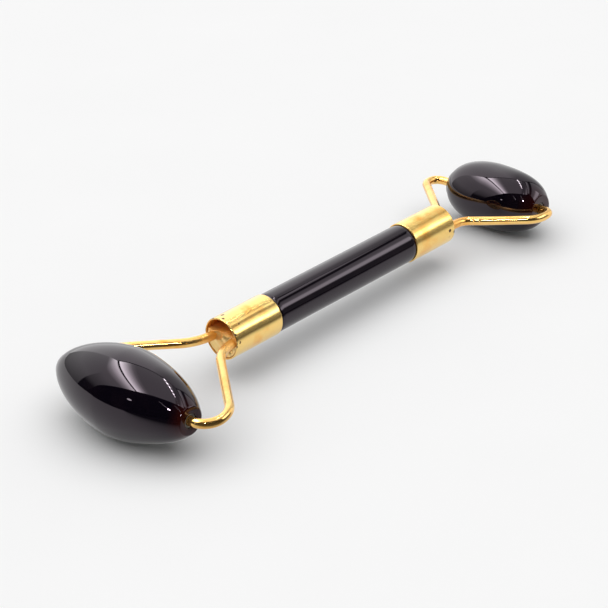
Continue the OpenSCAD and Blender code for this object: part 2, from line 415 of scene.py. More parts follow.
@dataclass(frozen=True)
class PolishedObsidian:
    """Black volcanic glass, ground to shape, tumbled and polished to a mirror.

    The gloss is that of glass, IOR 1.5. Bands of smoke lie in the depth, thin places let brown light
    through, and the polish leaves hairlines that only show in a highlight.
    """

    name: str = "polished_obsidian"
    black: str = "#09060d"
    smoke: str = "#120c12"
    warm: str = "#2c0a05"
    tint: str = "#f6e4f2"
    smoke_mm: float = 7.0
    hairline_mm: float = 2.6
    hairline_share: float = 0.012
    patch_mm: float = 9.0
    ripple_mm: float = 1.1

    def build(self) -> bpy.types.Material:
        """Builds the material and returns it."""
        material, tree = new_material(self.name)
        place = place_of(tree)
        smoke = noise(tree, place, self.smoke_mm, 5.0, Roughness=0.6, Distortion=1.2)
        haze = ramp(tree, smoke, (0.42, self.black), (0.72, self.smoke))
        glow = spread(tree, calc(tree, "MULTIPLY", mark_of(tree, "thin"), smoke), 0.12, 0.62)
        colour = blend(tree, glow, haze, self.warm)
        cracks = add_node(tree, "ShaderNodeTexVoronoi", {"feature": "DISTANCE_TO_EDGE",
                                                         "Scale": 1 / (self.hairline_mm * MM)},
                          {"Vector": place}).outputs["Distance"]
        lines = spread(tree, cracks, 0.0, self.hairline_share, 1.0, 0.0)
        where = noise(tree, place, self.patch_mm)
        hairline = calc(tree, "MULTIPLY", lines, spread(tree, where, 0.5, 0.7, 0.0, 0.06))
        wear = calc(tree, "MULTIPLY_ADD", where, 0.035, 0.012)
        peel = noise(tree, place, self.ripple_mm, 1.0)
        surface(tree, {"Base Color": colour, "Roughness": calc(tree, "ADD", wear, hairline)},
                calc(tree, "SUBTRACT", peel, hairline), (0.06, 0.01),
                {"IOR": 1.52, "Specular Tint": self.tint})
        return material


@dataclass(frozen=True)
class GoldPlate:
    """Gold flashed over drawn brass under a thin clear lacquer: warm yellow with pits and a rubbed bloom.

    The metal keeps the default IOR, and a film of wear scatters a little of the light, more where "shade"
    marks an unpolished recess; there painted shade also turns the colour to the deep orange. Pits are dark
    and rough and crowd where "wear" is high, the bloom reddens the colour in soft patches, and fine draw
    lines break up the gloss.
    """

    name: str
    bright: str = "#fdd681"
    deep: str = "#f8a42c"
    pit: str = "#5a3a1e"
    film: float = 0.07
    recess_film: float = 0.7
    lacquer: float = 0.35
    gloss: float = 0.2
    pit_mm: float = 1.5
    pit_share: float = 0.03
    pit_crowding: float = 0.7
    pit_depth: float = 3.0
    bloom_mm: float = 5.0
    wave_mm: float = 1.6
    wave_depth_mm: float = 0.012

    def pits(self, tree: bpy.types.NodeTree, place: Mark) -> Mark:
        """Marks the pits: uneven dots in the chosen cells of a grid, the wider the luckier the cell."""
        wobble = noise(tree, place, 0.5, out="Color")
        bent = add_node(tree, "ShaderNodeVectorMath", {"operation": "MULTIPLY_ADD", 1: (0.35 * MM,) * 3},
                        {0: wobble, 2: place})
        cell = add_node(tree, "ShaderNodeTexVoronoi", {"Scale": 1 / (self.pit_mm * MM)},
                        {"Vector": bent.outputs[0]})
        chance = add_node(tree, "ShaderNodeSeparateColor", links={0: cell.outputs["Color"]}).outputs[0]
        luck = calc(tree, "MULTIPLY_ADD", mark_of(tree, "wear"), self.pit_crowding, self.pit_share - 1)
        reach = spread(tree, calc(tree, "ADD", chance, luck), 0.0, 0.15, -0.1, 0.33)
        return spread(tree, calc(tree, "SUBTRACT", reach, cell.outputs["Distance"]), -0.02, 0.08)

    def build(self) -> bpy.types.Material:
        """Builds the material and returns it."""
        material, tree = new_material(self.name)
        place, shade = place_of(tree), mark_of(tree, "shade")
        pit = self.pits(tree, place)
        redness = spread(tree, noise(tree, place, self.bloom_mm, 4.0, Roughness=0.6), 0.48, 0.78)
        # painted shade: the colour turns to the deep orange where "shade" marks a recess, as it does in the
        # bloom's patches
        warm = calc(tree, "MAXIMUM", redness, shade, clamp=True)
        colour = blend(tree, pit, blend(tree, warm, self.bright, self.deep), self.pit)
        satin = calc(tree, "MULTIPLY_ADD", noise(tree, place, 0.35, 3.0), 0.08, self.gloss - 0.04)
        rough = calc(tree, "MULTIPLY_ADD", calc(tree, "MAXIMUM", pit, shade), 0.3, satin)
        bare = calc(tree, "MULTIPLY_ADD", shade, -self.recess_film, 1 - self.film)
        relief = calc(tree, "MULTIPLY_ADD", pit, -self.pit_depth, noise(tree, place, self.wave_mm))
        surface(tree, {"Base Color": colour, "Roughness": rough, "Metallic": bare}, relief,
                (0.6, self.wave_depth_mm), {"Coat Weight": self.lacquer, "Coat Roughness": 0.1})
        return material


@dataclass(frozen=True)
class MouldedNylon:
    """Nylon 6, injection moulded: natural off-white once, greyed by skin oil, soft gloss, grimy grain."""

    name: str = "moulded_nylon"
    body: str = "#7e786e"
    grime: str = "#463d35"
    grime_mm: float = 0.9
    grain_mm: float = 0.35

    def build(self) -> bpy.types.Material:
        """Builds the material and returns it."""
        material, tree = new_material(self.name)
        place = place_of(tree)
        colour = ramp(tree, noise(tree, place, self.grime_mm, 4.0), (0.45, self.body), (0.8, self.grime))
        grain = noise(tree, place, self.grain_mm)
        rough = calc(tree, "MULTIPLY_ADD", grain, 0.2, 0.3)
        surface(tree, {"Base Color": colour, "Roughness": rough}, grain, (0.3, 0.02),
                {"IOR": 1.53, "Subsurface Weight": 0.15, "Subsurface Scale": 0.4 * MM})
        return material


@dataclass(frozen=True)
class CuredEpoxy:
    """Two-part epoxy gone amber: dark brown, glossy, cloudy with small bubbles where it squeezed out."""

    name: str = "cured_epoxy"
    amber: str = "#5a2f12"
    dark: str = "#1d0f08"
    cloud_mm: float = 1.5
    bubble_mm: float = 0.3

    def build(self) -> bpy.types.Material:
        """Builds the material and returns it."""
        material, tree = new_material(self.name)
        place = place_of(tree)
        cloud = noise(tree, place, self.cloud_mm, 4.0)
        bubble = add_node(tree, "ShaderNodeTexVoronoi", {"Scale": 1 / (self.bubble_mm * MM)},
                          {"Vector": place}).outputs["Distance"]
        surface(tree, {"Base Color": ramp(tree, cloud, (0.35, self.dark), (0.7, self.amber)),
                       "Roughness": calc(tree, "MULTIPLY_ADD", cloud, 0.2, 0.12)}, bubble, (0.4, 0.02),
                {"IOR": 1.55})
        return material


@dataclass
class Finishes:
    """One material of each finish, shared by the pieces that have it."""

    stone: bpy.types.Material = field(default_factory=lambda: PolishedObsidian().build())
    large_ferrule: bpy.types.Material = field(default_factory=lambda: GoldPlate(
        "gold_plate_glossy").build())
    small_ferrule: bpy.types.Material = field(default_factory=lambda: GoldPlate(
        "gold_plate_satin", bright="#fed67e", gloss=0.26, pit_share=0.03).build())
    wire: bpy.types.Material = field(default_factory=lambda: GoldPlate(
        "gold_plate_wire", bright="#fbcc78", gloss=0.17, pit_share=0.03).build())
    solder: bpy.types.Material = field(default_factory=lambda: GoldPlate(
        "gold_plate_solder", bright="#ffd88a", deep="#f8aa42", film=0.2, gloss=0.3, pit_share=0.06,
        pit_mm=1.1, wave_mm=0.9, wave_depth_mm=0.05).build())
    plug: bpy.types.Material = field(default_factory=lambda: GoldPlate(
        "brass_plug", bright="#f0a83c", deep="#c9721c", pit="#4a2610", film=0.4, gloss=0.35,
        pit_share=0.2).build())
    nylon: bpy.types.Material = field(default_factory=lambda: MouldedNylon().build())
    epoxy: bpy.types.Material = field(default_factory=lambda: CuredEpoxy().build())


# ---------------------------------------------------------------- where things are

@dataclass(frozen=True)
class GripLine:
    """The line of the grip. The stones' sizes differ, so the grip tilts a little as it lies.

    A point (x, y, z) of the straight grip is origin + x X + y along + z up, where along runs from the
    large axle to the small one and the axles lie drop below the line.
    """

    large_mouth: float = 38.15
    small_mouth: float = 37.65
    large_reach: float = 28.2
    small_reach: float = 23.2
    drop: float = 0.9

    def mouth(self, end: End) -> float:
        """How far from the middle of the grip an end's mouth is, in millimetres."""
        return self.large_mouth if end is End.LARGE else self.small_mouth

    def reach(self, end: End) -> float:
        """From the mouth to the axle along the fork, in millimetres."""
        return self.large_reach if end is End.LARGE else self.small_reach

    def dip(self, end: End) -> float:
        """The fork's angle below the line, in radians."""
        return math.asin(self.drop / self.reach(end))

    def axle(self, end: End) -> np.ndarray:
        """The axle's middle in the rest frame, in millimetres, from the stone's CAD box."""
        low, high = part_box(f"{end.word}_roller_stone")
        return np.array((low + high) / 2) / MM

    def place(self, points: np.ndarray) -> np.ndarray:
        """Takes points of the straight grip, in millimetres, to the rest frame, in metres."""
        large, small = self.axle(End.LARGE), self.axle(End.SMALL)
        along = (small - large) / np.linalg.norm(small - large)
        up = np.array([0, -along[2], along[1]])
        out = self.mouth(End.LARGE) + self.large_reach * math.cos(self.dip(End.LARGE))
        origin = large + along * out + up * self.drop
        return (origin + points @ np.stack([np.array([1.0, 0, 0]), along, up])) * MM

    def from_mouth(self, end: End, local: np.ndarray) -> np.ndarray:
        """Takes (x, z, out) points, with out measured outwards from an end's rim, to the rest frame."""
        x, z, out = np.moveaxis(local, -1, 0)
        return self.place(np.stack([x, end.value * (self.mouth(end) + out), z], -1))


# ---------------------------------------------------------------- pieces

@dataclass
class Grip:
    """The round stone grip with a turned spigot at each end."""

    line: GripLine
    diameter: float = 9.5
    length: float = 46.8
    spigot_d: float = 8.9
    spigot_len: float = 8.45
    shoulder_r: float = 0.35
    spigot_bevel: float = 0.3
    hand: tuple[Wave, ...] = ((0.0012, 6.0, 1, 0.4), (0.0010, 11.0, 2, 1.9), (0.0005, 2.3, 3, 0.2))

    def build(self, finish: bpy.types.Material) -> None:
        """Revolves the outline round the line of the grip and hands the piece over.

        Args:
            finish: the stone's material.
        """
        r, half, spigot = self.diameter / 2, self.length / 2, self.spigot_d / 2
        tip = half + self.spigot_len
        right = [[r, half], [spigot, half], [spigot, tip], [0.02, tip]]
        outline = [[radius, -height] for radius, height in right[::-1]] + right
        bend = [self.spigot_bevel, 0.05, self.shoulder_r, self.shoulder_r, 0.05, self.spigot_bevel]
        profile = fillet(outline, bend, 1.0)
        rings = revolve(profile, ripple(profile[:, 1], self.hand) - 0.001)
        rings = self.line.place(np.stack([rings[..., 0], rings[..., 2], rings[..., 1]], -1))
        piece = make_piece("polished_grip_stone", rings, Close.POLES, finish)
        hand_over(piece, "handle", "obsidian", "grip_stone")


@dataclass
class Ferrule:
    """A drawn gold tube over one end of the grip, with an open rim."""

    line: GripLine
    end: End
    length: float
    diameter: float = 10.0
    wall: float = 0.4
    rim_r: float = 0.17
    worn_length: float = 4.5
    dents: tuple[Wave, ...] = ((0.0016, 3.1, 2, 0.7), (0.0011, 1.7, 3, 2.1))

    def build(self, finish: bpy.types.Material) -> None:
        """Revolves the tube's wall and hands the piece over.

        Args:
            finish: the ferrule's material.
        """
        outer, inner = self.diameter / 2, self.diameter / 2 - self.wall
        middle = -self.length / 2
        outline = [[outer, middle], [outer, 0], [inner, 0], [inner, -self.length], [outer, -self.length],
                   [outer, middle]]
        profile = fillet(outline, [self.rim_r] * 4, 0.25)[:-1]
        uneven = ripple(profile[:, 1], self.dents) - 0.002
        rings = self.line.from_mouth(self.end, revolve(profile, uneven))
        # painted shade: the tube's inside is marked "shade", which turns its gold deeper orange and duller
        inside = np.clip((outer - 0.2 - profile[:, :1]) / 0.15, 0, 1)
        mouth = np.clip(1 + profile[:, 1:] / self.worn_length, 0, 1)
        piece = make_piece(f"{self.end.word}_gold_ferrule", rings, Close.LOOP, finish,
                           {"shade": inside * 0.9, "wear": mouth * (1 - inside)})
        hand_over(piece, "handle", "gold_plated_ferrule", f"{self.end.word}_end_ferrule")


@dataclass
class Fork:
    """One length of wire, bent by hand from tip to tip round a root that is soldered into the mouth.

    Each side's bends are (distance from the middle, distance out, radius): root, shoulder and corner.
    """

    line: GripLine
    end: End
    left: Sequence[Bend]
    right: Sequence[Bend]
    tip_x: float
    diameter: float = 2.2
    root_depth: float = 3.2
    root_bend_r: float = 1.8
    tip_bevel: float = 0.3
    lift: float = 0.05
    shaded_length: float = 5.0
    segments: int = 40
    step: float = 0.3

    def centre_line(self) -> np.ndarray:
        """The wire's middle as (x, out) points: a rounded polyline with its bends eased."""
        sides = [np.array([(self.tip_x, side[-1][1], 0.0), *side[::-1], (side[0][0], -self.root_depth,
                                                                         self.root_bend_r)])
                 for side in (self.right, self.left)]
        whole = np.concatenate([sides[0], sides[1][::-1] * (-1, 1, 1)])
        line = fillet(whole[:, :2], whole[1:-1, 2], self.step)
        run = np.concatenate([[0], np.cumsum(np.linalg.norm(np.diff(line, axis=0), axis=1))])
        even = np.linspace(0, run[-1], int(run[-1] / self.step))
        line = np.stack([np.interp(even, run, line[:, k]) for k in range(2)], 1)
        eased = smoothed(line, 4)
        eased[[0, -1]] = line[[0, -1]]
        return eased

    def build(self, finish: bpy.types.Material) -> None:
        """Carries the wire's circle along its centre line and hands the piece over.

        Args:
            finish: the wire's material.
        """
        flat = self.centre_line()
        dip, way = self.line.dip(self.end), self.end.value
        run = np.arange(len(flat)) * self.step
        ease = np.clip(np.minimum(run, run[-1] - run) / 6 - 0.9, 0, 1)
        lift = self.lift * ease * (np.sin(run / 5.3 + 0.6) + 0.6 * np.sin(run / 2.9 + 2.0))
        points = np.stack([flat[:, 0], way * (self.line.mouth(self.end) + flat[:, 1] * math.cos(dip)),
                           lift - flat[:, 1] * math.sin(dip)], -1)
        r = self.diameter / 2
        from_tip = np.minimum(run, run[-1] - run)
        radius = r * (1 + 0.006 * np.sin(run / 1.9) + 0.004 * np.sin(run / 0.83 + 1)) - 0.006
        radius = np.minimum(radius, r - self.tip_bevel + from_tip)
        origin, above = self.line.place(np.array([[0, 0, 0], [0, way * math.sin(dip), math.cos(dip)]]))
        normal = (above - origin) / np.linalg.norm(above - origin)
        rings = sweep(self.line.place(points), normal, radius * MM, self.segments)
        # painted shade: the wire's gold turns deeper orange as it nears the root in the mouth
        root_shade = np.clip((self.shaded_length - flat[:, 1:]) / self.shaded_length, 0, 1) * 0.8
        piece = make_piece(f"{self.end.word}_fork_gold_wire", rings, Close.POLES, finish,
                           {"shade": root_shade})
        hand_over(piece, "handle", "gold_plated_wire", f"{self.end.word}_fork_wire")


@dataclass
class SolderPool:
    """Solder run into a mouth round the fork's root, with an open recess over it, plated with the rest.

    Each dent is (x, height, width, depth) in millimetres.
    """

    line: GripLine
    end: End
    bore_r: float = 4.58
    depth: float = 4.6
    step_back: float = 0.25
    level: float = 1.45
    dents: tuple[tuple[float, float, float, float], ...] = ((2.9, -0.2, 0.9, 0.9), (2.5, -2.3, 0.4, 0.7),
                                                            (-1.0, 1.6, 1.4, 0.7), (1.3, 1.7, 1.0, 0.9))
    rows: int = 60
    segments: int = 144

    def build(self, finish: bpy.types.Material) -> None:
        """Builds the pool as shrinking copies of its outline and hands the piece over.

        The outline is the bore's circle with every height above the level pressed down to it. The face
        runs from the outline to the middle with lumps, and each dent takes depth exp(-(d / width)^2) off
        it, where d is the distance from the dent.

        Args:
            finish: the solder's material.
        """
        p = np.linspace(0, 2 * np.pi, self.segments, endpoint=False)
        x, z = self.bore_r * np.cos(p), self.bore_r * np.sin(p)
        level = self.level + 0.12 * np.sin(1.3 * x + 0.8) + 0.06 * np.sin(2.9 * x) - 0.1
        z = np.minimum(z, level)
        middle = np.array([0.0, -1.2])
        share = np.concatenate([np.linspace(0.02, 1, self.rows), np.ones(6), np.linspace(1, 0.02, 10)])
        rim = np.stack([x, z], -1) - middle
        ring = middle + share[:, None, None] * rim[None]
        face = np.arange(len(share)) < self.rows
        lumps = (0.10 * np.sin(1.7 * ring[..., 0] + 0.6) * np.sin(1.9 * ring[..., 1] + 0.2)
                 + 0.04 * np.sin(4.1 * ring[..., 0] + 1.0) * np.sin(3.7 * ring[..., 1]))
        holes = sum(depth * np.exp(-((ring[..., 0] - at_x) ** 2 + (ring[..., 1] - at_z) ** 2) / width ** 2)
                    for at_x, at_z, width, depth in self.dents)
        round_off = -0.30 * np.clip((share[:, None] - 0.94) / 0.06, 0, 1) ** 2
        front = -self.step_back + 0.08 + lumps - holes + round_off
        back = np.full_like(front, -self.depth)
        side = np.linspace(0, 1, 8)[1:-1]
        out = np.where(face[:, None], front, back)
        edge = front[self.rows - 1]
        out[self.rows:self.rows + 6] = edge + (back[0] - edge) * side[:, None]
        rings = self.line.from_mouth(self.end, np.concatenate([ring, out[..., None]], -1))
        # painted shade: the solder's gold turns deeper orange along its top edge under the recess and in its
        # dents
        shade = np.clip((ring[..., 1] - self.level + 0.9) / 0.8, 0, 1) * 0.7 + np.clip(holes, 0, 1) * 0.5
        piece = make_piece(f"{self.end.word}_end_plated_solder", rings, Close.POLES, finish,
                           {"shade": np.clip(shade, 0, 1)})
        hand_over(piece, "handle", "plated_solder", f"{self.end.word}_end_solder")


@dataclass
class Roller:
    """A bored stone that turns on two nylon bushes, one in each end."""

    end: End
    diameter: float
    length: float
    fullness: float
    overrun: float
    tip_depth: float
    hand: tuple[Wave, ...]
    bush_d: float = 3.5
    bush_glue: float = 0.1
    bush_bore_r: float = 1.15
    lip: float = 0.25
    lip_depth: float = 0.9
    sunk: float = 0.3
    bush_past_tip: float = 0.9
    bore_past_bush: float = 0.3
    edge_r: float = 0.7
    thin_length: float = 4.5

    @property
    def body(self) -> str:
        """The CAD body that the stone and its bushes turn with."""
        return f"{self.end.word}_roller"

    def centre(self) -> np.ndarray:
        """The stone's middle in metres, from its CAD box."""
        low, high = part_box(f"{self.end.word}_roller_stone")
        return np.array((low + high) / 2)

    def outline(self) -> np.ndarray:
        """Half the stone's outline from its fullest place to the flat end, as (radius, distance) points.

        The radius at a distance x from the middle is R (1 - (x / a)^k)^(1/k), where a is the half length
        times the overrun and k is the fullness.
        """
        r, half = self.diameter / 2, self.length / 2
        x = (half - self.edge_r * 0.45) * np.sin(np.linspace(0, np.pi / 2, 70))
        radius = r * (1 - (x / (half * self.overrun)) ** self.fullness) ** (1 / self.fullness)
        side = np.stack([radius, x], 1)
        step = side[-1] - side[-2]
        slope = math.atan2(-step[0], step[1])
        centre = side[-1] - self.edge_r * np.array([math.cos(slope), math.sin(slope)])
        a = np.linspace(slope, np.pi / 2, 12)[1:, None]
        stretch = (half - centre[1]) / self.edge_r
        edge = centre + self.edge_r * np.concatenate([np.cos(a), stretch * np.sin(a)], 1)
        return np.concatenate([side, edge])

    def build_stone(self, finish: bpy.types.Material) -> None:
        """Revolves the outline with its two blind bores round the axle and hands the stone over.

        Args:
            finish: the stone's material.
        """
        half = self.length / 2
        bore_r = self.bush_d / 2 + self.bush_glue
        bottom = half - self.tip_depth - self.bush_past_tip - self.bore_past_bush
        mouth_r = bore_r - self.lip
        hole = fillet([[0.02, bottom], [bore_r, bottom], [bore_r, half - self.lip_depth],
                       [mouth_r, half - self.lip_depth], [mouth_r, half], [bore_r + 0.6, half]],
                      [0.1, 0.05, 0.05, 0.15], 0.8)
        right = np.concatenate([self.outline(), hole[::-1]])
        profile = np.concatenate([right[::-1][:-1] * (1, -1), right])
        outer = np.clip((profile[:, :1] - bore_r - 0.3) / 1.5, 0, 1)
        uneven = ripple(profile[:, 1], self.hand)
        rings = revolve(profile, (uneven - uneven.max()) * outer)
        rings = np.stack([rings[..., 2], rings[..., 0], rings[..., 1]], -1) * MM + self.centre()
        from_end = half - np.abs(profile[:, 1:])
        thin = np.clip(1 - from_end / self.thin_length, 0, 1) ** 1.5
        piece = make_piece(f"{self.end.word}_roller_polished_stone", rings, Close.POLES, finish,
                           {"thin": thin})
        hand_over(piece, self.body, "obsidian", f"{self.end.word}_roller_stone")

    def build_bush(self, side: Side, finish: bpy.types.Material) -> None:
        """Revolves one bush, its nose behind the lip of the bore, and hands it over.

        Args:
            side: which end of the axle.
            finish: the bush's material.
        """
        outer, inner = self.bush_d / 2, self.bush_bore_r
        back, front, shoulder = -self.tip_depth - self.bush_past_tip, -self.sunk, -self.lip_depth - 0.05
        nose = outer + self.bush_glue - self.lip - 0.04
        outline = [[outer, back / 2], [outer, shoulder], [nose, shoulder], [nose, front], [inner, front],
                   [inner, back], [outer, back], [outer, back / 2]]
        profile = fillet(outline, [0.04, 0.04, 0.1, 0.12, 0.05, 0.1], 0.6)[:-1]
        rings = revolve(profile, segments=72)
        rings = np.stack([side.value * (self.length / 2 + rings[..., 2]), rings[..., 0], rings[..., 1]], -1)
        name = f"{self.end.word}_roller_{side.word}"
        piece = make_piece(f"{name}_nylon_bush", rings * MM + self.centre(), Close.LOOP, finish)
        hand_over(piece, self.body, "nylon", f"{name}_bush")


def dress_nodes(finish: bpy.types.Material, nodes: Sequence[str]) -> None:
    """Gives carried-over CAD nodes a finish in all their material slots.

    Args:
        finish: the material.
        nodes: the CAD nodes' names.
    """
    for node in nodes:
        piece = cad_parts[node]
        if not piece.material_slots:
            piece.data.materials.append(finish)
        for place in piece.material_slots:
            place.material = finish
        LOG.info("%s: CAD node, dressed in %s", node, finish.name)


# ---------------------------------------------------------------- studio

@dataclass(frozen=True)
class Panel:
    """One lit face of the light box, given by its corners.

    Corners are (side, front, height) in metres: side to the camera's right and front towards it. Levels
    are (place, strength) pairs, and the place is measured along the given way.
    """

    name: str
    corners: Corners
    levels: Levels
    way: Spot = (0.0, 0.0, 1.0)
    bead_pitch: float = 0.0


@dataclass
class Studio:
    """A small light box, open towards the camera, on a pale table, with three small lamps before it.

    A black flag keeps each of the two bright lamps off the stone that the other one is for. Gloss sees
    the walls, roof and lamps; the daylight and the overhead lamp that light the table are seen by nothing
    else. To gloss the table falls off into the dark from floor_near to floor_end along floor_way, and its
    shadows are filled by the share filled, fading where a ray is shorter than filled_from. Lengths are in
    metres and angles in degrees.
    """

    facing: float = 44.58
    half_width: float = 0.245
    back: float = -0.25
    front: float = 0.20
    roof: float = 0.43
    gap: float = 0.010
    table_radius: float = 3.0
    day: float = 0.45
    sky: float = 0.93
    lamp: float = 1.83
    lamp_angle: float = 95.0
    lamp_place: Spot = (-0.03, 0.02, 1.0)
    floor_way: Spot = (0.5, 0.866, 0.0)
    floor_near: float = 0.024
    floor_end: float = 0.064
    floor_dark: float = 0.97
    filled: float = 0.5
    fill_strength: float = 0.9
    filled_from: tuple[float, float] = (0.002, 0.009)

    def disc(self, middle: Spot, radius: float) -> Corners:
        """The corners of a small round lamp at a place, square to the way to the origin."""
        centre = np.array(middle)
        way = centre / np.linalg.norm(centre)
        across = np.cross(way, (0.0, 0.0, 1.0))
        across /= np.linalg.norm(across)
        a = np.linspace(0, 2 * np.pi, 12, endpoint=False)[:, None]
        ring = centre + radius * (np.cos(a) * across + np.sin(a) * np.cross(way, across))
        return tuple(tuple(corner) for corner in ring.tolist())

    def panels(self) -> list[Panel]:
        """The box's lit faces and its lamps."""
        w, b, f, h, g = self.half_width, self.back, self.front, self.roof, self.gap
        near, far, mid = -w - 0.055, -w + 0.055, -0.075

        def strip(low: float, high: float, start: float, end: float) -> Corners:
            """A strip just under the roof, between two places across the box and two along it."""
            z = h - 0.002
            return (low, start, z), (high, start, z), (high, end, z), (low, end, z)

        def even(strength: float) -> Levels:
            """One strength throughout."""
            return (0.0, strength), (1.0, strength)

        def right_wall(start: float, low_end: float, high_end: float) -> Corners:
            """A part of the right wall, its front edge leaning from low_end to high_end."""
            return (w, start, 0.004), (w, low_end, 0.004), (w, high_end, h - g), (w, start, h - g)

        left_upper = ((0.20, 1.15), (0.26, 1.3), (0.31, 3.2), (0.36, 6.5), (0.40, 9.5), (0.42, 7.0))
        upper = ((0.245, 0.9), (0.27, 0.05), (0.325, 0.05), (0.35, 1.3), (0.42, 2.0))
        return [
            Panel("roof", ((far + g, b + g, h), (w - g, b + g, h), (w - g, f, h), (near + g, f, h)),
                  ((-0.238, 7.0), (-0.226, 14.0), (-0.20, 9.0), (-0.17, 4.2), (-0.145, 1.8), (-0.12, 1.12),
                   (0.125, 1.12), (0.133, 0.5), (0.19, 0.6), (0.22, 1.6), (0.24, 2.2)),
                  (0.971, 0.238, 0.0)),
            Panel("lamps_right", strip(0.122, 0.136, b + g, 0.02), even(38.0), bead_pitch=0.05),
            Panel("streak_right", strip(0.129, 0.132, 0.02, f - 0.03), even(2.6)),
            Panel("end_right", strip(0.122, 0.137, f - 0.03, f), even(4.0)),
            Panel("wall_left_back", ((far, b + g, 0.012), (-w, -0.02, 0.012), (-w, -0.02, h - g),
                                     (far, b + g, h - g)),
                  ((0.012, 0.3), (0.05, 0.6), (0.10, 1.0)) + left_upper),
            Panel("wall_left_front", ((-w, -0.02, 0.012), (-w - 0.01, 0.02, 0.012), (near, 0.2, h - g),
                                      (-w, -0.02, h - g)),
                  ((0.012, 0.02), (0.065, 0.04), (0.10, 0.5)) + left_upper),
            Panel("wall_right_back", right_wall(b + g, mid, mid), ((0.0, 1.1), (0.25, 1.0)) + upper),
            Panel("wall_right_front", right_wall(mid, 0.09, 0.12),
                  ((0.0, 0.16), (0.084, 0.16), (0.096, 1.5), (0.11, 3.8), (0.15, 3.8), (0.18, 1.3),
                   (0.22, 1.0)) + upper),
            Panel("wall_back", ((-w + g, b, 0.004), (w - g, b, 0.004), (w - g, b, h - g),
                                (-w + g, b, h - g)),
                  ((-0.235, 1.7), (0.05, 1.5), (0.12, 0.8), (0.235, 0.8)), (1.0, 0.0, 0.0)),
            Panel("lamp_near", self.disc((-0.071, 0.287, 0.233), 0.012), even(110.0)),
            Panel("lamp_far", self.disc((0.070, 0.287, 0.233), 0.013), even(130.0)),
            Panel("lamp_side", self.disc((-0.295, 0.214, 0.185), 0.012), even(7.0)),
            Panel("flag_near", self.disc((-0.043, 0.207, 0.179), 0.014), even(0.001)),
            Panel("flag_far", self.disc((0.037, 0.2175, 0.169), 0.014), even(0.001)),
            Panel("arm_near", ((-0.072, 0.287, 0.235), (-0.067, 0.287, 0.235), (-0.140, 0.287, 0.42),
                               (-0.145, 0.287, 0.42)), ((0.235, 7.0), (0.42, 3.0))),
            Panel("arm_far", ((0.068, 0.287, 0.235), (0.073, 0.287, 0.235), (0.045, 0.25, 0.42),
                              (0.040, 0.25, 0.42)), ((0.235, 7.0), (0.42, 3.0))),
        ]

    def turned(self, place: Sequence[float]) -> tuple[float, float, float]:
        """Takes (side, front, height) to the frame's X, Y and Z."""
        a = math.radians(self.facing)
        side, front, height = place
        return (side * math.cos(a) + front * math.sin(a), side * math.sin(a) - front * math.cos(a), height)

    def measure(self, tree: bpy.types.NodeTree, way: Spot) -> Mark:
        """Adds how far a point lies along a (side, front, height) way and returns the socket."""
        return add_node(tree, "ShaderNodeVectorMath", {"operation": "DOT_PRODUCT", 1: self.turned(way)},
                        {0: place_of(tree)}).outputs["Value"]

    def light_of(self, panel: Panel) -> bpy.types.Material:
        """Builds a panel's light from its levels, in beads where it is a row of lamps.

        The table gets none of it, not even by way of the polished metal.
        """
        material, tree = new_material(f"light_{panel.name}")
        first, last = panel.levels[0][0], panel.levels[-1][0]
        peak = max(strength for _, strength in panel.levels)
        share = spread(tree, self.measure(tree, panel.way), first, last)
        stops = [((at - first) / (last - first), strength / peak) for at, strength in panel.levels]
        path = add_node(tree, "ShaderNodeLightPath")
        direct = calc(tree, "LESS_THAN", path.outputs["Diffuse Depth"], 0.5)
        shine = calc(tree, "MULTIPLY", direct, peak)
        if panel.bead_pitch:
            wave = calc(tree, "PINGPONG", self.measure(tree, (0.0, 1.0, 0.0)), panel.bead_pitch / 2)
            bead = spread(tree, wave, panel.bead_pitch * 0.1, panel.bead_pitch / 2, 0.12, 1.3)
            shine = calc(tree, "MULTIPLY", shine, bead)
        glow = add_node(tree, "ShaderNodeEmission",
                        links={"Color": ramp(tree, share, *stops), "Strength": shine})
        add_node(tree, "ShaderNodeOutputMaterial", links={"Surface": glow.outputs[0]})
        return material

    def add_face(self, name: str, corners: Sequence[Sequence[float]],
                 material: bpy.types.Material) -> bpy.types.Object:
        """Makes one flat face of the studio, its corners in the frame's X, Y and Z, and returns it."""
        mesh = bpy.data.meshes.new(name)
        mesh.from_pydata(corners, [], [tuple(range(len(corners)))])
        mesh.materials.append(material)
        return add_object(f"studio_{name}", mesh)

    def build_panels(self) -> None:
        """Makes the box's faces and lamps, seen only by gloss."""
        for panel in self.panels():
            face = self.add_face(panel.name, [self.turned(c) for c in panel.corners], self.light_of(panel))
            face.visible_camera = face.visible_diffuse = False
            face.visible_shadow = panel.name.startswith("flag")
            face.visible_transmission = face.visible_volume_scatter = False

